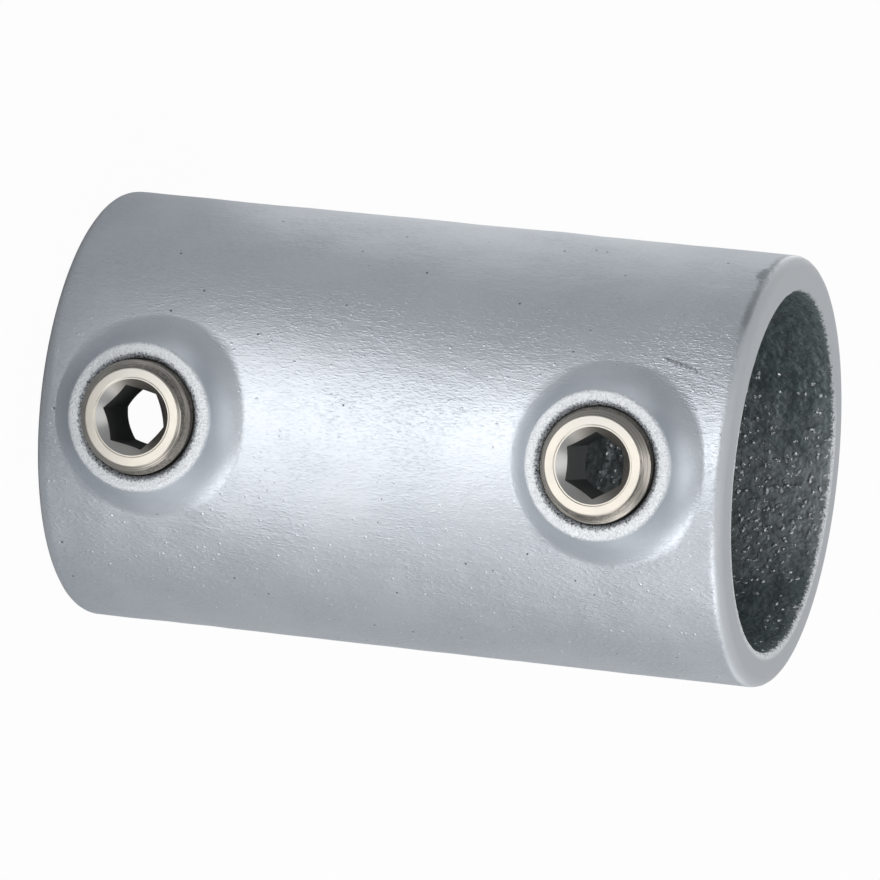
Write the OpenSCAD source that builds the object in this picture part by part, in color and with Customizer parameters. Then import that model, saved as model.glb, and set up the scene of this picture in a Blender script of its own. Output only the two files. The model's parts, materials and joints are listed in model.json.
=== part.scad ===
// Straight sleeve coupling for round tube: a cast sleeve with two threaded bosses and two set screws.
// It stands on its lower end face, with the bore along +Z and the bosses facing -Y.

/* [Sleeve] */
// Length of the sleeve from end face to end face
sleeve_length = 100; // [90:1:130]
// Bore that the tube slides into
bore_d = 50.5; // [44:0.1:62]
// Thickness of the sleeve's wall
wall = 5; // [4:0.1:7]
// Round on the outer edge of both end faces
end_round = 1.6; // [0.6:0.1:2.4]
// Round at both mouths of the bore
mouth_round = 0.6; // [0.2:0.1:1.2]

/* [Bosses] */
// Distance from an end face to the boss next to it
boss_inset = 16.8; // [16.5:0.1:24]
// Height of a boss's rim above the outside of the sleeve
boss_height = 5; // [4:0.1:7]
// Diameter over a boss's rim, where its flat top ends
rim_d = 19.4; // [18.6:0.1:21]
// Round on the rim's outer edge
rim_round = 0.8; // [0.3:0.1:1]
// Slope of the flank, in degrees away from the boss's own axis
flank_draft = 8; // [4:1:16]
// Reach of the flank and its blend, from the rim to where it meets the sleeve
blend_reach = 3.5; // [3:0.1:4.6]
// Angle at which the blend meets the sleeve, in degrees
foot_angle = 20; // [0:1:30]
// Chamfer at the mouth of the threaded hole
hole_chamfer = 0.7; // [0.2:0.1:0.8]

/* [Set screws] */
// Diameter over the thread's crests, M16
thread_d = 16; // [15.6:0.1:17]
// Gap between the crests and the wall of the threaded hole, all round
thread_clearance = 0.05; // [0.02:0.01:0.1]
// Length of a set screw
screw_length = 11.7; // [9:0.1:12]
// Diameter of the flat ring on the front face
face_d = 13.5; // [12:0.1:14.6]
// Width across the flats of the hexagon socket
socket_flats = 8; // [6:0.5:8.5]
// Diameter of the socket's lead-in cone at the front face
lead_in_d = 10.6; // [10.1:0.1:11.4]
// Included angle of the lead-in cone, in degrees
lead_in_angle = 90; // [60:5:120]
// Chamfer on the inner end
tip_chamfer = 1.2; // [0.6:0.1:2]
// Diameter of the cup, whose edge bites into the tube
cup_d = 10; // [9.8:0.1:11.4]
// Included angle of the cup, in degrees
cup_angle = 60; // [50:5:120]
// Height of the lower screw's front face above its boss
lower_proud = 2.6; // [0.5:0.1:5]
// Height of the upper screw's front face above its boss
upper_proud = 1.8; // [0.5:0.1:5]
// Turn of the lower screw's socket, in degrees
lower_turn = 19; // [0:1:59]
// Turn of the upper screw's socket, in degrees
upper_turn = 2; // [0:1:59]

/* [Hidden] */

$fn = 96;
// Overlap that carries a cut clean past a face
past = 1;
// Distance inside the socket's flats at which its cones start
cone_start = 0.5;

bore_r = bore_d / 2;
outer_r = bore_r + wall;
thread_r = thread_d / 2;
hole_r = thread_r + thread_clearance;
rim_r = rim_d / 2;
rim_top = outer_r + boss_height;
lower_z = boss_inset;
upper_z = sleeve_length - boss_inset;

// Boss mesh: steps round the boss, steps up its blend and steps over its rim
round_steps = 72;
blend_steps = 9;
rim_steps = 4;
// Depth and run by which the foot of the blend dips into the wall, so that it crosses it at an angle
foot_dip = 0.35;
foot_run = 0.5;
// Distance from the bore's axis to the flat underside of a boss, which the bore then cuts away
boss_base = bore_r * 0.75;

// Height of the sleeve's outside above the bore's axis, at a distance from the boss's axis
function sleeve_height(reach, turn) = sqrt(pow(outer_r, 2) - pow(reach * sin(turn), 2));
function sleeve_slope(reach, turn) = -reach * pow(sin(turn), 2) / sleeve_height(reach, turn);

// Where the flank starts below the rim's round, as [reach, height]
function flank_top() = [rim_r + rim_round * cos(flank_draft),
                        rim_top - rim_round + rim_round * sin(flank_draft)];
function foot(turn) = let (reach = flank_top()[0] + blend_reach) [reach, sleeve_height(reach, turn)];
// Where the flank's own line crosses the line on which the blend leaves the foot
function corner(turn) =
    let (top = flank_top(), low = foot(turn), spread = tan(flank_draft),
         slope = tan(atan(sleeve_slope(low[0], turn)) - foot_angle),
         height = (low[1] + slope * (top[0] + top[1] * spread - low[0])) / (1 + slope * spread))
    [top[0] + (top[1] - height) * spread, height];
// A point of the blend, from the foot at 0 to the top of the flank at 1
function blend(turn, t) = pow(1 - t, 2) * foot(turn) + 2 * t * (1 - t) * corner(turn) + pow(t, 2) * flank_top();

// The boss's section in one direction, from its underside up to its flat top
function section(turn) = concat(
    [[foot(turn)[0] + foot_run, boss_base]],
    [foot(turn) + [foot_run, sleeve_slope(foot(turn)[0], turn) * foot_run - foot_dip]],
    [for (i = [1 : blend_steps]) blend(turn, i / blend_steps)],
    [for (i = [1 : rim_steps])
        let (a = flank_draft + (90 - flank_draft) * i / rim_steps)
        [rim_r + rim_round * cos(a), rim_top - rim_round + rim_round * sin(a)]]);

function ring_point(turn, p) = [p[0] * cos(turn), p[0] * sin(turn), p[1]];

// One boss, standing up from the bore's axis along +Z, with the tube's axis along X
module boss() {
    rows = len(section(0));
    points = [for (k = [0 : round_steps - 1]) let (turn = 360 * k / round_steps)
                  for (p = section(turn)) ring_point(turn, p)];
    walls = [for (k = [0 : round_steps - 1], i = [0 : rows - 2])
                 let (a = k * rows + i, b = ((k + 1) % round_steps) * rows + i)
                 each [[a, a + 1, b + 1], [a, b + 1, b]]];
    top = [for (k = [round_steps - 1 : -1 : 0]) k * rows + rows - 1];
    bottom = [for (k = [0 : round_steps - 1]) k * rows];
    polyhedron(points, concat(walls, [top, bottom]), convexity = 4);
}

// Lays something built along +Z on a boss's axis, at a height along the tube
module on_boss(z) {
    translate([0, 0, z]) rotate([90, 0, 0]) children();
}

module outer_profile() {
    difference() {
        square([outer_r, sleeve_length]);
        for (z = [0, sleeve_length - end_round]) translate([outer_r - end_round, z]) square(end_round);
    }
    for (z = [end_round, sleeve_length - end_round]) translate([outer_r - end_round, z]) circle(end_round);
}

module bore_profile() {
    translate([0, -past]) square([bore_r, sleeve_length + 2 * past]);
    difference() {
        for (z = [-past, sleeve_length - mouth_round]) square_at(z);
        for (z = [mouth_round, sleeve_length - mouth_round])
            translate([bore_r + mouth_round, z]) circle(mouth_round);
    }
}

module square_at(z) {
    translate([0, z]) square([bore_r + mouth_round, mouth_round + past]);
}

module threaded_hole() {
    cylinder(h = rim_top + past, r = hole_r);
    translate([0, 0, rim_top - hole_chamfer])
        cylinder(h = hole_chamfer + past, r1 = hole_r, r2 = hole_r + hole_chamfer + past);
}

module sleeve_body() {
    color("#c3c9cf")
    difference() {
        union() {
            rotate_extrude() outer_profile();
            for (z = [lower_z, upper_z]) on_boss(z) rotate([0, 0, 90]) boss();
        }
        rotate_extrude() bore_profile();
        for (z = [lower_z, upper_z]) on_boss(z) threaded_hole();
    }
}

// A cone that opens from inside the socket to its full diameter at z = 0, and runs on past it
module socket_cone(d, angle) {
    spread = tan(angle / 2);
    tip_r = socket_flats / 2 - cone_start;
    deep = (d / 2 - tip_r) / spread;
    translate([0, 0, -deep]) cylinder(h = deep + past, r1 = tip_r, r2 = d / 2 + past * spread);
}

// A set screw standing on its inner end, with its front face up
module set_screw(turn) {
    face_r = face_d / 2;
    front_chamfer = thread_r - face_r;
    difference() {
        rotate_extrude()
            polygon([[0, 0], [thread_r - tip_chamfer, 0], [thread_r, tip_chamfer],
                     [thread_r, screw_length - front_chamfer], [face_r, screw_length], [0, screw_length]]);
        rotate([0, 0, turn]) translate([0, 0, -past])
            cylinder(h = screw_length + 2 * past, d = socket_flats / cos(30), $fn = 6);
        translate([0, 0, screw_length]) socket_cone(lead_in_d, lead_in_angle);
        mirror([0, 0, 1]) socket_cone(cup_d, cup_angle);
    }
}

module set_screw_lower() {
    color("#bdb5a6") on_boss(lower_z) translate([0, 0, rim_top + lower_proud - screw_length]) set_screw(lower_turn);
}

module set_screw_upper() {
    color("#bdb5a6") on_boss(upper_z) translate([0, 0, rim_top + upper_proud - screw_length]) set_screw(upper_turn);
}

sleeve_body();
set_screw_lower();
set_screw_upper();
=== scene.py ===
"""A straight cast sleeve that joins round tubes end to end, with a set screw in each of its two bosses."""
import json
import math

import bmesh
import bpy
import numpy as np
from mathutils import Matrix, Vector


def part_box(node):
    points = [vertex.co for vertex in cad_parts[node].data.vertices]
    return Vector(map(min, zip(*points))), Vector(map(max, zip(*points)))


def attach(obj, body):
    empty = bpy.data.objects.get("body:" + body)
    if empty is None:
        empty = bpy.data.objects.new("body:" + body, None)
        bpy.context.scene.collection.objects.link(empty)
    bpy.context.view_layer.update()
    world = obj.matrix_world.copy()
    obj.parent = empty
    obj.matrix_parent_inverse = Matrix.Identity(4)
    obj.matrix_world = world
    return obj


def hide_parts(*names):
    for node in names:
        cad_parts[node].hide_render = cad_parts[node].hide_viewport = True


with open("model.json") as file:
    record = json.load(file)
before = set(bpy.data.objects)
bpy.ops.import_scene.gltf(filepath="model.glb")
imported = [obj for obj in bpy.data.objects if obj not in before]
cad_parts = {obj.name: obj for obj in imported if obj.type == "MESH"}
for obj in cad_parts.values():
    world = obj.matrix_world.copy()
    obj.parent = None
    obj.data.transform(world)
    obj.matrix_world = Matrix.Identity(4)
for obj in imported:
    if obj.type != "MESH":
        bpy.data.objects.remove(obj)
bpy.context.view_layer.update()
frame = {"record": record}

MM = 0.001
TURN = 2 * math.pi

# The sleeve. One iron casting with a boss for each set screw, drilled and tapped, and hot-dip galvanised. Its
# zinc lies pale and blue-grey over the sand's grain, smoother on the bosses' flanks and the ends. The bore is
# left rough and dark.
sleeve_low, sleeve_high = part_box("sleeve_body")
LENGTH = sleeve_high.z
OUTER_R = sleeve_high.x
RIM_TOP = -sleeve_low.y
BORE_R = next(m["dims"]["r_mm"] for m in frame["record"]["mounts"] if m["name"] == "tube_bore") * MM
END_ROUND = 1.6 * MM
MOUTH_ROUND = 0.6 * MM
BOSS_INSET = 16.8 * MM
BOSS_Z = (BOSS_INSET, LENGTH - BOSS_INSET)
RIM_R = 9.7 * MM
RIM_ROUND = 0.8 * MM
FLANK_DRAFT = math.radians(8)
BLEND_REACH = 3.5 * MM
FOOT_ANGLE = math.radians(20)
HOLE_R = 8.05 * MM
HOLE_CHAMFER = 0.7 * MM
# The screws' M16 thread, and how far in the tapped hole's own ridges stand
PITCH = 2.0 * MM
HOLE_RIDGE_R = 7.15 * MM
# Each boss sits in a patch of the wall, square on the drum, whose half-height and half-angle these are
PATCH_HALF = BOSS_INSET - 2.1 * MM
PATCH_ANGLE = math.radians(30.6)
# Faces across and up a patch, round the rest of the drum, and between the two patches outside and in the bore
ACROSS = 44
UPRIGHT = 44
ROUND_REST = 212
BETWEEN = 48
BORE_BETWEEN = 20
HOLE_FACES = 44
ROUND_FACES = 6
BLEND_FACES = 14
APRON_FACES = 7
WELD = 0.001 * MM


class Shell:
    """Collects grids of points, and welds them where they meet into one closed mesh."""

    def __init__(self):
        self.points, self.faces = [], []

    def add(self, grid, closed):
        rows, columns = grid.shape[:2]
        index = len(self.points) + np.arange(rows * columns).reshape(rows, columns)
        self.points.extend(grid.reshape(-1, 3).tolist())
        after = np.roll(index, -1, 1) if closed else index[:, 1:]
        here = index if closed else index[:, :-1]
        self.faces.extend(np.stack([here[:-1], after[:-1], after[1:], here[1:]], -1).reshape(-1, 4).tolist())

    def piece(self, name):
        mesh = bpy.data.meshes.new(name)
        mesh.from_pydata(self.points, [], self.faces)
        work = bmesh.new()
        work.from_mesh(mesh)
        bmesh.ops.remove_doubles(work, verts=work.verts, dist=WELD)
        bmesh.ops.recalc_face_normals(work, faces=work.faces)
        work.to_mesh(mesh)
        work.free()
        made = bpy.data.objects.new(name, mesh)
        bpy.context.scene.collection.objects.link(made)
        return made


def on_drum(radius, turn, z):
    """Points on a round wall about the bore's axis, with the turn counted from -Y towards +X."""
    radius, turn, z = np.broadcast_arrays(radius, turn, z)
    return np.stack([radius * np.sin(turn), -radius * np.cos(turn), z], -1)


def patch_edge(radius, boss_z):
    """The patch's outline on a drum, counter-clockwise as seen from in front, as (x, z) pairs."""
    turns = np.linspace(-PATCH_ANGLE, PATCH_ANGLE, ACROSS + 1)
    heights = np.linspace(boss_z - PATCH_HALF, boss_z + PATCH_HALF, UPRIGHT + 1)
    bottom = [(radius * math.sin(turn), heights[0]) for turn in turns[:-1]]
    far = [(radius * math.sin(turns[-1]), z) for z in heights[:-1]]
    top = [(radius * math.sin(turn), heights[-1]) for turn in turns[:0:-1]]
    near = [(radius * math.sin(turns[0]), z) for z in heights[:0:-1]]
    return np.array(bottom + far + top + near)


def boss_rows(boss_z):
    """Rings of points from the hole's inner end, up its wall, over the rim and down to the patch's edge."""
    edge = patch_edge(OUTER_R, boss_z)
    reach = np.hypot(edge[:, 0], edge[:, 1] - boss_z)
    across, along = edge[:, 0] / reach, (edge[:, 1] - boss_z) / reach
    everywhere = np.ones_like(reach)

    def ring(r, height):
        return np.stack([across * r, -height * everywhere, boss_z + along * r], -1)

    def drum_height(r, drum):
        return np.sqrt(drum ** 2 - (across * r) ** 2)

    inner_end = drum_height(HOLE_R, BORE_R)
    wall_top = RIM_TOP - HOLE_CHAMFER
    rings = [ring(HOLE_R, inner_end + (wall_top - inner_end) * t) for t in np.linspace(0, 1, HOLE_FACES + 1)]
    for t in np.linspace(0, 1, 4)[1:]:
        rings.append(ring(HOLE_R + HOLE_CHAMFER * t, wall_top + HOLE_CHAMFER * t))
    for t in np.linspace(0, 1, 4)[1:]:
        rings.append(ring((HOLE_R + HOLE_CHAMFER) * (1 - t) + RIM_R * t, RIM_TOP))
    for a in np.linspace(math.pi / 2, FLANK_DRAFT, ROUND_FACES + 1)[1:]:
        rings.append(ring(RIM_R + RIM_ROUND * math.cos(a), RIM_TOP - RIM_ROUND * (1 - math.sin(a))))
    top_r = RIM_R + RIM_ROUND * math.cos(FLANK_DRAFT)
    top_height = RIM_TOP - RIM_ROUND * (1 - math.sin(FLANK_DRAFT))
    foot_r = top_r + BLEND_REACH
    foot_height = drum_height(foot_r, OUTER_R)
    # The blend is a curve drawn from the flank to the foot by the point where their two tangents cross
    slope = np.tan(np.arctan(-foot_r * across ** 2 / foot_height) - FOOT_ANGLE)
    spread = math.tan(FLANK_DRAFT)
    corner_height = (foot_height + slope * (top_r + top_height * spread - foot_r)) / (1 + slope * spread)
    corner_r = top_r + (top_height - corner_height) * spread
    for t in np.linspace(0, 1, BLEND_FACES + 1)[1:]:
        near, middle, far = (1 - t) ** 2, 2 * t * (1 - t), t * t
        rings.append(ring(near * top_r + middle * corner_r + far * foot_r,
                          near * top_height + middle * corner_height + far * foot_height))
    for t in np.linspace(0, 1, APRON_FACES + 1)[1:]:
        r = foot_r * (1 - t) + reach * t
        rings.append(ring(r, drum_height(r, OUTER_R)))
    return np.array(rings)


def bore_rows(boss_z):
    """Rings on the bore's wall, from the patch's edge in to the threaded hole."""
    outside = patch_edge(OUTER_R, boss_z)
    turn = np.arctan2(outside[:, 0], outside[:, 1] - boss_z)
    hole = np.stack([np.sin(turn) * HOLE_R, boss_z + np.cos(turn) * HOLE_R], -1)
    edge = patch_edge(BORE_R, boss_z)
    flat = np.array([edge * (1 - t) + hole * t for t in np.linspace(0, 1, 9)])
    return np.stack([flat[..., 0], -np.sqrt(BORE_R ** 2 - flat[..., 0] ** 2), flat[..., 1]], -1)


def end_rings(end, inward):
    """Radii and heights from the outside wall, over the end face and round the bore's mouth."""
    wall_z = end + inward * (BOSS_INSET - PATCH_HALF)
    rings = [(OUTER_R, wall_z)]
    for a in np.linspace(0, math.pi / 2, ROUND_FACES + 1):
        rings.append((OUTER_R - END_ROUND * (1 - math.cos(a)),
                      end + inward * END_ROUND * (1 - math.sin(a))))
    for t in np.linspace(0, 1, 4)[1:]:
        rings.append(((OUTER_R - END_ROUND) * (1 - t) + (BORE_R + MOUTH_ROUND) * t, end))
    for a in np.linspace(0, math.pi / 2, ROUND_FACES + 1)[1:]:
        rings.append((BORE_R + MOUTH_ROUND * (1 - math.sin(a)),
                      end + inward * MOUTH_ROUND * (1 - math.cos(a))))
    return np.array(rings + [(BORE_R, wall_z)])


shell = Shell()
patch_turns = np.linspace(-PATCH_ANGLE, PATCH_ANGLE, ACROSS + 1)
rest_turns = np.linspace(PATCH_ANGLE, TURN - PATCH_ANGLE, ROUND_REST + 1)
all_turns = np.concatenate([patch_turns[:-1], rest_turns[:-1]])
for drum, between in ((OUTER_R, BETWEEN), (BORE_R, BORE_BETWEEN)):
    middle = np.linspace(BOSS_Z[0] + PATCH_HALF, BOSS_Z[1] - PATCH_HALF, between + 1)
    shell.add(on_drum(drum, all_turns[None, :], middle[:, None]), True)
    for boss_z in BOSS_Z:
        beside = np.linspace(boss_z - PATCH_HALF, boss_z + PATCH_HALF, UPRIGHT + 1)
        shell.add(on_drum(drum, rest_turns[None, :], beside[:, None]), False)
for boss_z in BOSS_Z:
    shell.add(boss_rows(boss_z), True)
    shell.add(bore_rows(boss_z), True)
for end, inward in ((0.0, 1.0), (LENGTH, -1.0)):
    rings = end_rings(end, inward)
    shell.add(on_drum(rings[:, 0, None], all_turns[None, :], rings[:, 1, None]), True)
sleeve = shell.piece("cast_sleeve")


class Wire:
    """A socket in a node tree. An expression on wires adds the Math nodes that work it out."""

    def __init__(self, tree, socket):
        self.tree, self.socket = tree, socket

    def maths(self, operation, *values):
        return self.tree.node("ShaderNodeMath", {"operation": operation}, dict(enumerate((self,) + values)))

    def __add__(self, other):
        return self.maths("ADD", other)

    def __sub__(self, other):
        return self.maths("SUBTRACT", other)

    def __rsub__(self, other):
        return self.tree.node("ShaderNodeMath", {"operation": "SUBTRACT"}, {0: other, 1: self})

    def __mul__(self, other):
        return self.maths("MULTIPLY", other)

    def __truediv__(self, other):
        return self.maths("DIVIDE", other)

    def __rtruediv__(self, other):
        return self.tree.node("ShaderNodeMath", {"operation": "DIVIDE"}, {0: other, 1: self})

    def __neg__(self):
        return self * -1.0

    def __lt__(self, other):
        return self.maths("LESS_THAN", other)

    __radd__ = __add__

    def least(self, other):
        return self.maths("MINIMUM", other)

    def most(self, other):
        return self.maths("MAXIMUM", other)

    def beyond(self, start, full):
        """0 up to start and 1 past full, with a smooth step between. Full may be the smaller of the two."""
        low, high = min(start, full), max(start, full)
        step = self.tree.node("ShaderNodeMapRange", {"interpolation_type": "SMOOTHSTEP"},
                              {"Value": self, "From Min": low, "From Max": high})
        return step if full > start else 1.0 - step


class Tree:
    """Builds a node tree, one node for each call."""

    def __init__(self, tree):
        self.tree = tree

    def node(self, kind, settings, sockets, output=0):
        made = self.tree.nodes.new(kind)
        for name, value in settings.items():
            setattr(made, name, value)
        for name, value in sockets.items():
            if isinstance(value, Wire):
                self.tree.links.new(value.socket, made.inputs[name])
            else:
                made.inputs[name].default_value = value
        return Wire(self, made.outputs[output]) if made.outputs else None

    def mix(self, factor, first, second):
        """A colour between two colours: the first at 0 and the second at 1."""
        return self.node("ShaderNodeMix", {"data_type": "RGBA"}, {0: factor, 6: first, 7: second}, output=2)

    def stretched(self, vector, scale):
        return self.node("ShaderNodeVectorMath", {"operation": "MULTIPLY"}, {0: vector, 1: scale})

    def apart(self, vector):
        return [self.node("ShaderNodeSeparateXYZ", {}, {0: vector}, output=axis) for axis in range(3)]

    def noise(self, vector, size, detail=2.0, roughness=0.5):
        """Soft noise from 0 to 1, whose lumps are about the given size across."""
        return self.node("ShaderNodeTexNoise", {}, {"Vector": vector, "Scale": 1.0 / size, "Detail": detail,
                                                    "Roughness": roughness})

    def cells(self, vector, size):
        """Dots scattered about the given size apart: the distance to the nearest, in sizes, and its lot."""
        sockets = {"Vector": self.stretched(vector, (1.0 / size,) * 3), "Scale": 1.0}
        from_dot = self.node("ShaderNodeTexVoronoi", {}, sockets)
        lot = self.apart(self.node("ShaderNodeTexVoronoi", {}, sockets, output="Color"))[0]
        return from_dot, lot

    def distance(self, first, second):
        return (first * first + second * second).maths("SQRT")


def shape_tree(name, sizes):
    """Starts a Geometry Nodes tree with a named input for each size. Returns its builder and its inputs."""
    group = bpy.data.node_groups.new(name, "GeometryNodeTree")
    group.interface.new_socket("Geometry", in_out="INPUT", socket_type="NodeSocketGeometry")
    group.interface.new_socket("Material", in_out="INPUT", socket_type="NodeSocketMaterial")
    for size in sizes:
        group.interface.new_socket(size, in_out="INPUT", socket_type="NodeSocketFloat")
    group.interface.new_socket("Geometry", in_out="OUTPUT", socket_type="NodeSocketGeometry")
    build = Tree(group)
    entry = group.nodes.new("NodeGroupInput")
    return build, {socket.name: Wire(build, socket) for socket in entry.outputs if socket.name}


def end_shape_tree(build, geometry, finish):
    real = build.node("GeometryNodeRealizeInstances", {}, {"Geometry": geometry})
    dressed = build.node("GeometryNodeSetMaterial", {}, {"Geometry": real, "Material": finish})
    build.node("NodeGroupOutput", {}, {"Geometry": dressed})
    return build.tree


def thread_tree():
    """Cuts a right-hand thread into a round wall that lies along Y: a screw's, or a hole's with ridges."""
    build, size = shape_tree("screw_thread", ["Axis Height", "Pitch", "Crest Radius", "Root Radius",
                                              "Hole Radius", "Hole Top", "Hole Chamfer"])
    x, y, z = build.apart(build.node("GeometryNodeInputPosition", {}, {}))
    along = z - size["Axis Height"]
    radius = build.distance(x, along)
    turn = (-x).maths("ARCTAN2", along)
    phase = (-y / size["Pitch"] - turn / TURN).maths("FRACT")
    wave = (phase * 2.0 - 1.0).maths("ABSOLUTE")
    # Flat roots and crests take a seventh of the wave each, and the flanks the rest
    form = build.node("ShaderNodeMapRange", {}, {"Value": wave, "From Min": 1 / 7, "From Max": 6 / 7})
    cut = size["Root Radius"] + (size["Crest Radius"] - size["Root Radius"]) * form
    countersink = size["Hole Radius"] + size["Hole Chamfer"] - (size["Hole Top"] + y)
    in_hole = (radius < size["Hole Radius"] + WELD) * (y < 0.0)
    is_hole = 1.0 - (size["Hole Radius"] < WELD)
    hole_wall = cut.most(countersink) * in_hole + radius * (1.0 - in_hole)
    scale = (hole_wall * is_hole + radius.least(cut) * (1.0 - is_hole)) / radius.most(WELD)
    place = build.node("ShaderNodeCombineXYZ", {}, {
        0: x * scale, 1: y, 2: size["Axis Height"] + along * scale})
    shaped = build.node("GeometryNodeSetPosition", {}, {"Geometry": size["Geometry"], "Position": place})
    return end_shape_tree(build, shaped, size["Material"])


def skin_tree():
    """Gives the casting slow waves and lumps outside, a rough bore, and flat ends."""
    build, size = shape_tree("cast_skin", ["Seed", "Wave Height", "Wave Size", "Lump Height", "Lump Size",
                                           "Bore Height", "Bore Size", "Bore Radius", "Length"])
    place = build.node("GeometryNodeInputPosition", {}, {})
    x, y, z = build.apart(place)
    seeded = build.node("ShaderNodeVectorMath", {"operation": "ADD"}, {
        0: place, 1: build.node("ShaderNodeCombineXYZ", {}, {0: size["Seed"]})})
    waves, lumps, grit = (build.noise(seeded, size[name], 1.0) - 0.5
                          for name in ("Wave Size", "Lump Size", "Bore Size"))
    in_bore = build.distance(x, y) < size["Bore Radius"] + 0.3 * MM
    from_end = z.least(size["Length"] - z).beyond(0.0, END_ROUND)
    outside = waves * size["Wave Height"] + lumps * size["Lump Height"]
    lift = outside * (1.0 - in_bore) * from_end + grit * size["Bore Height"] * in_bore
    push = build.node("ShaderNodeVectorMath", {"operation": "SCALE"}, {
        0: build.node("GeometryNodeInputNormal", {}, {}), "Scale": lift})
    shaped = build.node("GeometryNodeSetPosition", {}, {"Geometry": size["Geometry"], "Offset": push})
    return end_shape_tree(build, shaped, size["Material"])


def shape(piece, group, values):
    """Runs a Geometry Nodes tree on a piece, and keeps the result as the piece's plain mesh."""
    modifier = piece.modifiers.new(group.name, "NODES")
    modifier.node_group = group
    for item in group.interface.items_tree:
        if item.in_out == "INPUT" and item.name in values:
            modifier[item.identifier] = values[item.name]
    evaluated = piece.evaluated_get(bpy.context.evaluated_depsgraph_get())
    mesh = bpy.data.meshes.new_from_object(evaluated)
    piece.modifiers.clear()
    piece.data = mesh


def material(name):
    made = bpy.data.materials.new(name)
    made.use_nodes = True
    made.node_tree.nodes.clear()
    return made, Tree(made.node_tree)


ZINC_PALE = (0.72, 0.75, 0.785, 1.0)
ZINC_DULL = (0.54, 0.57, 0.61, 1.0)
ZINC_BARE = (0.93, 0.945, 0.96, 1.0)
END_GREY = (0.50, 0.515, 0.53, 1.0)
PIT_DARK = (0.15, 0.155, 0.16, 1.0)
BORE_DARK = (0.155, 0.195, 0.20, 1.0)
BORE_PAINTED_LIGHT = (0.42, 0.46, 0.47, 1.0)
BORE_GRAIN_AND_GLINT_PAINT = (0.92, 0.95, 0.96, 1.0)
# Painted shade for the threaded holes' mouths, and a darker mottle in the bore
HOLE_SHADE_AND_BORE_MOTTLE = (0.045, 0.043, 0.040, 1.0)
SMUDGE_AND_SHADE = (0.20, 0.22, 0.23, 1.0)
# The smooth zinc of a boss's flank runs out between these two distances from the boss's axis
FLANK_END = 11.6 * MM
FLANK_FOOT = 14.8 * MM
# Where the casting is roughest, beside the upper boss, and where the upper end has a knock, as (x, z)
ROUGH_PLACE = (-14.4 * MM, 92.0 * MM)
KNOCK_PLACE = (-27.4 * MM, 97.9 * MM)
# A fine crack starts here and runs this way
CRACK_START = (-15.2 * MM, 88.7 * MM)
CRACK_WAY = (0.257, 0.966)
CRACK_LENGTH = 6.8 * MM
# A painted glint, a bright streak of colour, crosses the far side of the bore at this height, with this slope
GLINT_STREAK_Z = 67.2 * MM
GLINT_STREAK_SLOPE = 0.12

galvanised, zinc = material("galvanised_casting")
spot = zinc.node("ShaderNodeTexCoord", {}, {}, output="Object")
px, py, pz = zinc.apart(spot)
lie = zinc.stretched(spot, (1.0, 1.0, 0.36))
wrinkle = zinc.noise(lie, 0.27 * MM, 2.0, 0.6)
ripple = zinc.noise(lie, 1.5 * MM, 2.0, 0.55)
cloud = zinc.noise(spot, 13.0 * MM, 3.0, 0.55)
grain = zinc.noise(spot, 0.26 * MM, 2.0, 0.65)
ragged = (zinc.noise(spot, 0.4 * MM, 3.0, 0.7) - 0.5) * MM

# These are 1 on their own part of the casting and 0 off it. Adding behind keeps a mark off the sleeve's back.
behind = py.beyond(-10.0 * MM, 0.0)
from_axis = zinc.distance(px, py)
inside_end = pz.least(LENGTH - pz)
in_bore = (from_axis.beyond(BORE_R + 0.4 * MM, BORE_R + 0.3 * MM)
           * (inside_end + ragged * 2.2).beyond(0.25 * MM, 0.4 * MM))
from_boss = zinc.distance(px, pz - BOSS_Z[0]).least(zinc.distance(px, pz - BOSS_Z[1])) + behind
mouth_r = HOLE_R + HOLE_CHAMFER
in_hole = (from_boss + ragged * 2.0).beyond(mouth_r + 0.25 * MM, mouth_r - 0.25 * MM)
on_rim = (from_boss + ragged).beyond(RIM_R + RIM_ROUND, RIM_R + 0.3 * MM) * (1.0 - in_hole)
on_flank = (from_boss + ragged * 3.0).beyond(FLANK_FOOT, FLANK_END) * (1.0 - on_rim)
on_end = inside_end.beyond(END_ROUND, 0.3 * MM)
# Painted highlight: the bore's mouth edge is painted bright on its +X side
painted_lip_highlight = (from_axis.beyond(BORE_R + 1.3 * MM, BORE_R + 0.5 * MM) * on_end
          * px.beyond(-14.0 * MM, -2.0 * MM))
smooth_zinc = on_flank.most(on_end)
from_rough = zinc.distance(px - ROUGH_PLACE[0], pz - ROUGH_PLACE[1]) + behind
coarse = from_rough.beyond(11.0 * MM, 2.0 * MM) * (1.0 - smooth_zinc)

# The marks: pits, bright sparks of zinc, the crack, the knock, and painted shade with some dirt along the
# upper end's round beside it
from_pit, pit_lot = zinc.cells(spot, 2.6 * MM)
pit = from_pit.beyond(0.09, 0.05) * (pit_lot < 0.35) * (1.0 - smooth_zinc)
from_spark, spark_lot = zinc.cells(spot, 0.8 * MM)
spark = (0.3 - from_spark).most(0.0) * (spark_lot - coarse * 0.2 < 0.10) * (1.0 - smooth_zinc)
spark = spark * px.beyond(-27.0 * MM, -20.0 * MM)
crack_x = px - CRACK_START[0]
crack_z = pz - CRACK_START[1]
along_crack = crack_x * CRACK_WAY[0] + crack_z * CRACK_WAY[1]
off_crack = (crack_x * CRACK_WAY[1] - crack_z * CRACK_WAY[0] + ragged * 1.6 + behind).maths("ABSOLUTE")
crack = off_crack.beyond(0.24 * MM, 0.08 * MM) * (grain + ripple * 0.6).beyond(0.70, 0.84)
crack = crack * along_crack.beyond(-0.3 * MM, 0.6 * MM) * along_crack.beyond(CRACK_LENGTH, 5.0 * MM)
from_knock = zinc.distance(px - KNOCK_PLACE[0], pz - KNOCK_PLACE[1]) + ragged * 1.5 + behind
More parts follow.
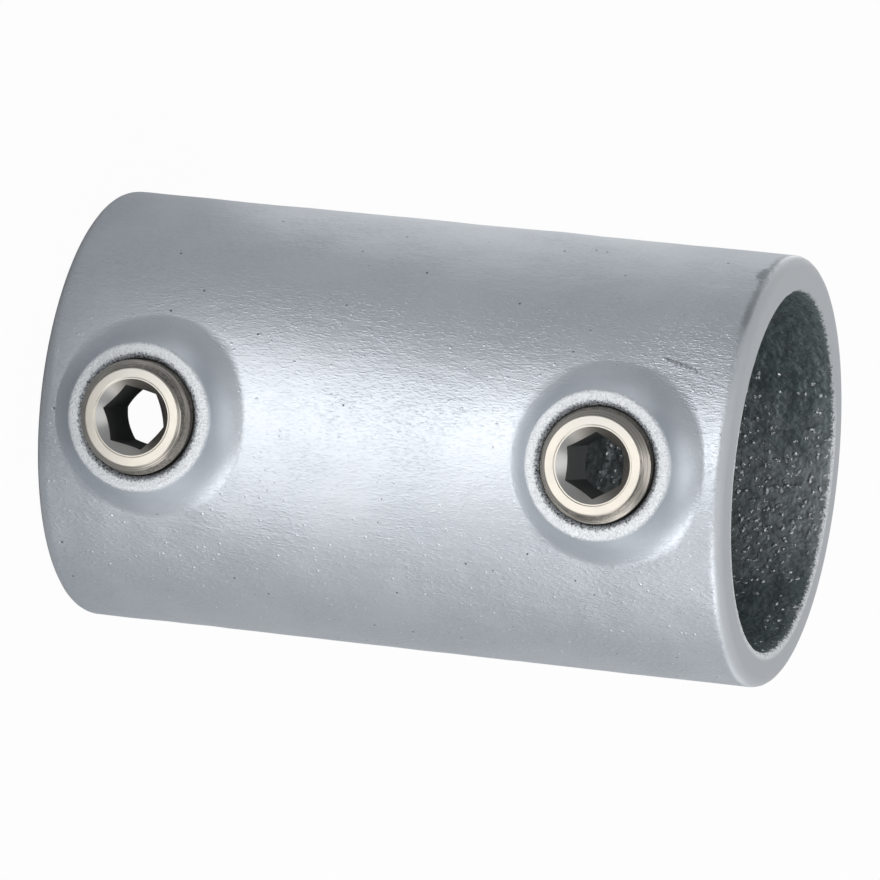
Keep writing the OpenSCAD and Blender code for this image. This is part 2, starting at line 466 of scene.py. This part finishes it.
# Painted shade with some dirt: a dark band along the upper end's round on its -X side
below_end = LENGTH - pz + ragged
seam_shade_and_dirt = below_end.beyond(2.4 * MM, 1.6 * MM) * below_end.beyond(0.7 * MM, 1.2 * MM) * (0.4 + ripple)
seam_shade_and_dirt = seam_shade_and_dirt * px.beyond(-17.0 * MM, -22.0 * MM) * (1.0 - behind)

rough_skin = (1.0 - smooth_zinc * 0.6) * (0.7 + cloud.beyond(0.35, 0.7) * 0.5 + coarse * 0.9)
bumps = (wrinkle - 0.54).most(0.0) * 1.1 + (wrinkle - 0.5) * 0.45
skin = bumps * rough_skin + (ripple - 0.5) * rough_skin * 0.8 + (grain - 0.5) * on_rim * 2.4
skin = skin + spark * 2.4 - pit * 0.3 - crack * 0.5
dullness = cloud.beyond(0.3, 0.7) * 0.3 + (wrinkle - 0.5) * rough_skin * 0.8 + 0.2
zinc_colour = zinc.mix(dullness, ZINC_PALE, ZINC_DULL)
zinc_colour = zinc.mix(on_rim * (0.95 + (grain - 0.5) * 3.4), zinc_colour, ZINC_BARE)
zinc_colour = zinc.mix(on_end * 0.85, zinc_colour, END_GREY)
zinc_colour = zinc.mix(painted_lip_highlight * (0.55 + (grain - 0.5) * 4.0), zinc_colour, ZINC_BARE)
# Painted shade: the bosses' flanks are painted a darker, duller zinc
zinc_colour = zinc.mix(on_flank * (0.35 + (cloud - 0.5)), zinc_colour, ZINC_DULL)
# A real smudge at the knock, and the painted shade with dirt along the end's round
zinc_colour = zinc.mix(from_knock.beyond(1.1 * MM, 0.5 * MM).most(seam_shade_and_dirt * 0.8) * 0.7, zinc_colour, SMUDGE_AND_SHADE)
zinc_colour = zinc.mix(pit.most(crack * 0.7), zinc_colour, PIT_DARK)

# In the bore the film of zinc is thin and dark, with bright drawn-out grains that are partly painted glints
around_bore = px.maths("ARCTAN2", py) * (BORE_R * 0.85)
rolled_out = zinc.node("ShaderNodeCombineXYZ", {}, {0: around_bore, 1: pz * 0.7, 2: 0.0})
speck = zinc.noise(rolled_out, 0.55 * MM, 2.0, 0.5)
swell = zinc.noise(rolled_out, 1.5 * MM, 2.0)
patch = zinc.noise(spot, 6.0 * MM, 2.0)
# Painted glint: a bright streak along the bore's far wall, painted into the colour only
from_glint_streak = (pz + px * GLINT_STREAK_SLOPE - GLINT_STREAK_Z + (speck - 0.5) * (2.0 * MM)).maths("ABSOLUTE")
painted_glint_streak = from_glint_streak.beyond(0.6 * MM, 0.2 * MM) * px.maths("ABSOLUTE").beyond(5.0 * MM, 3.5 * MM)
painted_glint_streak = painted_glint_streak * py.beyond(0.0, 5.0 * MM) * speck.beyond(0.35, 0.55)
# Painted light: the bore is painted lighter in a band towards its +X side, and more of its glints are painted
# there
from_painted_lit_side = (px - 5.0 * MM + (patch - 0.5) * (26.0 * MM)).maths("ABSOLUTE")
painted_lit_side = from_painted_lit_side.beyond(17.0 * MM, 4.0 * MM)
# The flecks are bright zinc grains with relief, also painted near white as glints, fewest on the -X side
from_fleck, fleck_lot = zinc.cells(rolled_out, 0.75 * MM)
fleck_share = px.beyond(-19.0 * MM, -10.0 * MM) * 0.16 + painted_lit_side * 0.6
fleck = (0.44 - from_fleck - (speck - 0.5) * 1.6).most(0.0) * (fleck_lot < fleck_share)
grain_and_painted_glint = fleck.beyond(0.02, 0.22) * (1.0 - fleck_lot * 0.6)
bore_colour = zinc.mix(painted_lit_side * 0.8, BORE_DARK, BORE_PAINTED_LIGHT)
bore_colour = zinc.mix((speck * 0.5 + swell * 0.5).beyond(0.6, 0.4) * 0.4, bore_colour, HOLE_SHADE_AND_BORE_MOTTLE)
bore_colour = zinc.mix(grain_and_painted_glint.most(painted_glint_streak), bore_colour, BORE_GRAIN_AND_GLINT_PAINT)

# Painted shade: the threaded hole's mouth is painted dark, with grains of zinc speckled in towards its edge
speckled = grain.beyond(0.38, 0.56) * from_boss.beyond(HOLE_R, mouth_r - 0.3 * MM)
colour = zinc.mix(in_hole, zinc_colour, zinc.mix(speckled, HOLE_SHADE_AND_BORE_MOTTLE, ZINC_DULL))
colour = zinc.mix(in_bore, colour, bore_colour)
relief = skin * (1.0 - in_bore) + ((speck - 0.5) * 1.8 + (swell - 0.5) * 5.0 + fleck * 8.0) * in_bore
bumpy = zinc.node("ShaderNodeBump", {}, {"Height": relief, "Distance": 0.1 * MM, "Strength": 1.0})
dirt = in_bore * (0.8 - grain_and_painted_glint * 0.8) + in_hole * 0.7 + pit * 0.7 + on_rim * 0.35 + on_end * 0.8
skin_shader = zinc.node("ShaderNodeBsdfPrincipled", {}, {
    "Base Color": colour, "Metallic": 1.0 - dirt, "Normal": bumpy,
    "Roughness": 0.40 + in_hole * 0.2 + on_rim * 0.15 + on_flank * 0.18 + on_end * 0.3})
zinc.node("ShaderNodeOutputMaterial", {}, {"Surface": skin_shader})

SCREW_THREAD = thread_tree()
for boss_z in BOSS_Z:
    shape(sleeve, SCREW_THREAD, {
        "Material": galvanised, "Axis Height": boss_z, "Pitch": PITCH,
        "Crest Radius": HOLE_R, "Root Radius": HOLE_RIDGE_R,
        "Hole Radius": HOLE_R, "Hole Top": RIM_TOP, "Hole Chamfer": HOLE_CHAMFER})
shape(sleeve, skin_tree(), {
    "Material": galvanised, "Seed": 3.0, "Wave Height": 0.30 * MM, "Wave Size": 14.0 * MM,
    "Lump Height": 0.10 * MM, "Lump Size": 4.0 * MM, "Bore Height": 0.25 * MM, "Bore Size": 3.0 * MM,
    "Bore Radius": BORE_R, "Length": LENGTH})
sleeve.data.shade_smooth()
sleeve.data.set_sharp_from_angle(angle=math.radians(50))
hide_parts("sleeve_body")
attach(sleeve, "sleeve")

# The set screws. Headless M16 steel screws, turned from bar, threaded and plated. A hexagon socket goes right
# through each, with a cone that leads the key in, and a cup at the inner end that bites into the tube.
SCREW_LENGTH = 11.7 * MM
CREST_R = 7.98 * MM
ROOT_R = 6.8 * MM
FACE_R = 6.75 * MM
LEAD_IN_R = 5.3 * MM
LEAD_IN_ANGLE = math.radians(45)
# A small lip runs round the lead-in cone, just below the front ring
LIP_R = 5.55 * MM
LIP_DEPTH = 0.14 * MM
CUP_R = 5.0 * MM
CUP_ANGLE = math.radians(30)
TIP_CHAMFER = 1.2 * MM
SOCKET_FLATS = 8.0 * MM
# Each turned edge is broken by a round of this size, and the rings beside it keep its two faces flat
EDGE_ROUND = 0.07 * MM
SCREW_COLUMNS = 192
SOCKET_FACES = 14
CONE_FACES = 6
CHAMFER_FACES = 12
THREAD_FACES = 64
TIP_FACES = 9

STEEL_CREAM = (0.70, 0.65, 0.57, 1.0)
STEEL_BROWN = (0.24, 0.22, 0.20, 1.0)
STEEL_GREY = (0.50, 0.495, 0.48, 1.0)
THREAD_GRIME_AND_SHADE = (0.10, 0.095, 0.085, 1.0)
SOCKET_PAINTED_SHADE = (0.115, 0.116, 0.112, 1.0)


def turned_profile():
    """Radii and depths of the turned outside, from the lead-in cone's edge to the cup's, edges broken."""
    points = [(LEAD_IN_R, LIP_DEPTH), (LIP_R - 0.09 * MM, LIP_DEPTH), (LIP_R - 0.02 * MM, LIP_DEPTH * 0.3)]
    chamfer_end = CREST_R - FACE_R
    low = SCREW_LENGTH - TIP_CHAMFER
    corners = np.array([(FACE_R, 0.0), (CREST_R, chamfer_end), (CREST_R, low),
                        (CREST_R - TIP_CHAMFER, SCREW_LENGTH)])
    starts = np.concatenate([[(LIP_R, 0.0)], corners])
    ends = np.concatenate([corners, [(CUP_R, SCREW_LENGTH)]])
    for start, end, faces in zip(starts, ends, (2, CHAMFER_FACES, THREAD_FACES, TIP_FACES, 2)):
        along = (end - start) / np.hypot(*(end - start))
        first, last = start + along * EDGE_ROUND, end - along * EDGE_ROUND
        points += [first, first + along * EDGE_ROUND / 2]
        points += [first * (1 - t) + last * t for t in np.linspace(0, 1, faces + 1)[1:-1]]
        points += [last - along * EDGE_ROUND / 2, last]
    return points


def screw_rows(socket_turn):
    """Angles round the axis from +Z towards +X, and rings of radius and depth below the front face: up the
    socket, over the front, down the outside and into the cup."""
    around = np.arange(SCREW_COLUMNS) * TURN / SCREW_COLUMNS
    from_flat = (around - socket_turn) % (TURN / 6) - TURN / 12
    hexagon = SOCKET_FLATS / 2 / np.cos(from_flat)
    everywhere = np.ones_like(around)
    lead_in = LIP_DEPTH + (LEAD_IN_R - hexagon) / math.tan(LEAD_IN_ANGLE)
    cup = SCREW_LENGTH - (CUP_R - hexagon) / math.tan(CUP_ANGLE)
    rings = [(hexagon, cup * (1 - t) + lead_in * t) for t in np.linspace(0, 1, SOCKET_FACES + 1)]
    cone_steps = np.append(np.linspace(0, 1, CONE_FACES + 1)[1:-1], [0.95, 0.985])
    rings += [(hexagon * (1 - t) + LEAD_IN_R * t, lead_in * (1 - t) + LIP_DEPTH * t) for t in cone_steps]
    rings += [(everywhere * r, everywhere * depth) for r, depth in turned_profile()]
    rings += [(CUP_R * (1 - t) + hexagon * t, SCREW_LENGTH * (1 - t) + cup * t) for t in 1 - cone_steps[::-1]]
    rings.append((hexagon, cup))
    return around, rings


plated, steel = material("plated_screw")
steel_spot = steel.node("ShaderNodeTexCoord", {}, {}, output="Object")
sx, sy, sz = steel.apart(steel_spot)
is_upper = 1.0 - (sz < LENGTH / 2)
front_y = [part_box(node)[0].y for node in ("set_screw_lower", "set_screw_upper")]
along_sleeve = sz - (BOSS_Z[0] + is_upper * (BOSS_Z[1] - BOSS_Z[0]))
axis_r = steel.distance(sx, along_sleeve)
depth = sy - (front_y[0] + is_upper * (front_y[1] - front_y[0]))
tool_path = steel.node("ShaderNodeCombineXYZ", {}, {0: axis_r, 1: depth, 2: 0.0})
tool_marks = steel.noise(tool_path, 0.13 * MM, 2.0, 0.6)
blotch = steel.noise(steel_spot, 2.6 * MM, 3.0, 0.6)
grit = steel.noise(steel_spot, 0.35 * MM, 2.0, 0.6)
below_cone = depth - LIP_DEPTH - (LEAD_IN_R - axis_r) / math.tan(LEAD_IN_ANGLE)
inside = axis_r.beyond(LEAD_IN_R + 0.03 * MM, LEAD_IN_R - 0.03 * MM)
in_socket = inside * below_cone.beyond(0.03 * MM, 0.12 * MM)
on_cone = inside * (1.0 - in_socket)
off_face = axis_r.beyond(FACE_R - 0.02 * MM, FACE_R + 0.06 * MM)
on_thread = off_face * depth.beyond(1.2 * MM, 1.8 * MM)
under_chamfer = (axis_r - depth).beyond(FACE_R - 0.05 * MM, FACE_R - 0.35 * MM)
in_root = off_face * under_chamfer * axis_r.beyond(7.9 * MM, 7.3 * MM)
steel_colour = steel.mix(blotch.beyond(0.35, 0.75) * 0.22, STEEL_CREAM, STEEL_GREY)
# Painted shade: each screw is painted greyer on its -X side
painted_shade_side = (sx + (blotch - 0.5) * (8.0 * MM)).beyond(-2.0 * MM, -7.0 * MM)
steel_colour = steel.mix(painted_shade_side * 0.45, steel_colour, STEEL_GREY)
steel_colour = steel.mix(off_face * (0.66 + (tool_marks - 0.5) * 2.6), steel_colour, STEEL_BROWN)
# Painted shade: the lead-in cone is painted browner towards +Z and -X
cone_painted_shade = (along_sleeve - sx * 0.7).beyond(-3.5 * MM, 2.0 * MM)
steel_colour = steel.mix(on_cone, steel_colour, steel.mix(cone_painted_shade, STEEL_GREY, STEEL_BROWN))
# The thread and its root, down in the hole, are painted dark: grime and painted shade
grime_and_shade = on_thread.most(in_root) * (0.62 + (grit - 0.5) * 1.2)
steel_colour = steel.mix(grime_and_shade, steel_colour, THREAD_GRIME_AND_SHADE)
# Painted shade: the socket's walls are painted dark
steel_colour = steel.mix(in_socket, steel_colour, SOCKET_PAINTED_SHADE)
turned_relief = (tool_marks - 0.5) * (0.3 + off_face * 1.2) * (1.0 - in_socket)
gritty_relief = (grit - 0.5) * (0.15 + on_thread * 2.0)
steel_bump = steel.node("ShaderNodeBump", {}, {
    "Height": turned_relief + gritty_relief, "Distance": 0.012 * MM, "Strength": 1.0})
steel_shader = steel.node("ShaderNodeBsdfPrincipled", {}, {
    "Base Color": steel_colour, "Metallic": 0.95 - on_thread * 0.4 - in_socket * 0.4,
    "Roughness": 0.32 + blotch * 0.10 + on_thread * 0.25 + in_socket * 0.12, "Normal": steel_bump})
steel.node("ShaderNodeOutputMaterial", {}, {"Surface": steel_shader})

SCREWS = (("set_screw_lower", "lower_screw", "threaded_screw_lower", 11.0),
          ("set_screw_upper", "upper_screw", "threaded_screw_upper", 28.0))
for (node, body, name, corner_turn), boss_z, front in zip(SCREWS, BOSS_Z, front_y):
    around, rings = screw_rows(math.radians(corner_turn))
    shell = Shell()
    shell.add(np.array([np.stack([r * np.sin(around), front + d, boss_z + r * np.cos(around)], -1)
                        for r, d in rings]), True)
    screw = shell.piece(name)
    shape(screw, SCREW_THREAD, {
        "Material": plated, "Axis Height": boss_z, "Pitch": PITCH,
        "Crest Radius": CREST_R, "Root Radius": ROOT_R})
    screw.data.shade_smooth()
    screw.data.set_sharp_from_angle(angle=math.radians(32))
    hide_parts(node)
    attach(screw, body)

# The studio. The sleeve stands on its lower end on a pale floor. The camera looks at its middle from in front
# of the bosses, 17.6 degrees above the level, rolled so that the bore lies nearly level in the picture.
PICTURE_PX = 880
FOCAL_PX = 8368.4
SENSOR_MM = 36.0
CAMERA_AIM = Vector((0.0005, -0.0002, 0.0496))
CAMERA_DISTANCE = 1.179
CAMERA_TURN = math.radians(-92.8)
CAMERA_RISE = math.radians(17.63)
CAMERA_ROLL = math.radians(-96.0)
FLOOR_R = 3.0
FLOOR_COLOUR = (0.55, 0.56, 0.57, 1.0)
SKY_COLOUR = (0.93, 0.96, 1.0, 1.0)
SKY_LEVEL = 0.37
# How white the background shows itself in glossy surfaces, and how far it hides the floor's own shading
GLOSSY_SHARE = 0.05
FLOOR_WHITE = 0.97
WHITE = (1.0, 1.0, 1.0, 1.0)


def away_from_middle(turn, rise):
    """The direction from the sleeve's middle at a turn from +X towards +Y and a rise above the level."""
    return Vector((math.cos(turn) * math.cos(rise), math.sin(turn) * math.cos(rise), math.sin(rise)))


backward = away_from_middle(CAMERA_TURN, CAMERA_RISE)
level_up = (Vector((0, 0, 1)) - backward * backward.z).normalized()
level_right = level_up.cross(backward)
picture_up = level_up * math.cos(CAMERA_ROLL) + level_right * math.sin(CAMERA_ROLL)
axes = Matrix((picture_up.cross(backward), picture_up, backward)).transposed().to_4x4()
camera_data = bpy.data.cameras.new("camera")
camera_data.sensor_width = SENSOR_MM
camera_data.lens = SENSOR_MM * FOCAL_PX / PICTURE_PX
camera = bpy.data.objects.new("camera", camera_data)
camera.matrix_world = Matrix.Translation(CAMERA_AIM + backward * CAMERA_DISTANCE) @ axes
bpy.context.scene.collection.objects.link(camera)
bpy.context.scene.camera = camera
bpy.context.scene.view_settings.view_transform = "Standard"


def softbox(name, aim, turn, rise, distance, size, power):
    """A flat lamp that faces a point of aim, and that the camera doesn't see."""
    data = bpy.data.lights.new(name, "AREA")
    data.shape, data.size, data.size_y = "RECTANGLE", size[0], size[1]
    data.energy = power
    lamp = bpy.data.objects.new(name, data)
    away = away_from_middle(math.radians(turn), math.radians(rise))
    facing = away.to_track_quat("Z", "Y").to_matrix().to_4x4()
    lamp.matrix_world = Matrix.Translation(aim + away * distance) @ facing
    lamp.visible_camera = False
    bpy.context.scene.collection.objects.link(lamp)


softbox("key", CAMERA_AIM, -98, 5, 0.9, (0.35, 0.35), 1.1)
softbox("fill", CAMERA_AIM, -30, 5, 0.9, (0.9, 0.9), 4.5)
softbox("right", CAMERA_AIM, 40, 8, 0.9, (0.5, 0.5), 1.1)
softbox("edge", CAMERA_AIM, 121, 8, 0.9, (0.8, 0.6), 3.4)
softbox("top", CAMERA_AIM, -90, 82, 0.9, (0.7, 0.7), 2.2)
# The others lie on the floor, where the camera sees the drum mirror them
softbox("low_front", Vector((0.009, -0.31, 0.103)), 0, -90, 0.1, (0.160, 0.49), 0.28)
softbox("low_side", Vector((-0.13, -0.40, 0.103)), 0, -90, 0.1, (0.16, 0.32), 0.28)
softbox("low_back", Vector((-0.15, 0.15, 0.103)), 0, -90, 0.1, (0.20, 0.24), 0.045)


def shown_white(tree):
    """1 on rays from the camera and through clear things, and a share of it on rays off a gloss."""
    camera_ray, clear_ray, glossy_ray = (
        tree.node("ShaderNodeLightPath", {}, {}, output=f"Is {kind} Ray")
        for kind in ("Camera", "Transmission", "Glossy"))
    return (camera_ray + clear_ray + glossy_ray * GLOSSY_SHARE).least(1.0)


world = bpy.data.worlds.new("studio")
bpy.context.scene.world = world
world.use_nodes = True
world.node_tree.nodes.clear()
air = Tree(world.node_tree)
plain_sky = air.node("ShaderNodeBackground", {}, {"Color": SKY_COLOUR, "Strength": SKY_LEVEL})
white_sky = air.node("ShaderNodeBackground", {}, {"Color": WHITE, "Strength": 1.0})
air.node("ShaderNodeOutputWorld", {}, {
    "Surface": air.node("ShaderNodeMixShader", {}, {0: shown_white(air), 1: plain_sky, 2: white_sky})})

floor_mesh = bpy.data.meshes.new("floor")
disc = bmesh.new()
bmesh.ops.create_circle(disc, cap_ends=True, radius=FLOOR_R, segments=96)
disc.to_mesh(floor_mesh)
disc.free()
floor = bpy.data.objects.new("floor", floor_mesh)
bpy.context.scene.collection.objects.link(floor)
pale_floor, paint = material("pale_floor")
lit = paint.node("ShaderNodeBsdfDiffuse", {}, {"Color": FLOOR_COLOUR})
white = paint.node("ShaderNodeEmission", {}, {"Color": WHITE, "Strength": 1.0})
paint.node("ShaderNodeOutputMaterial", {}, {
    "Surface": paint.node("ShaderNodeMixShader", {}, {
        0: shown_white(paint) * FLOOR_WHITE, 1: lit, 2: white})})
floor_mesh.materials.append(pale_floor)
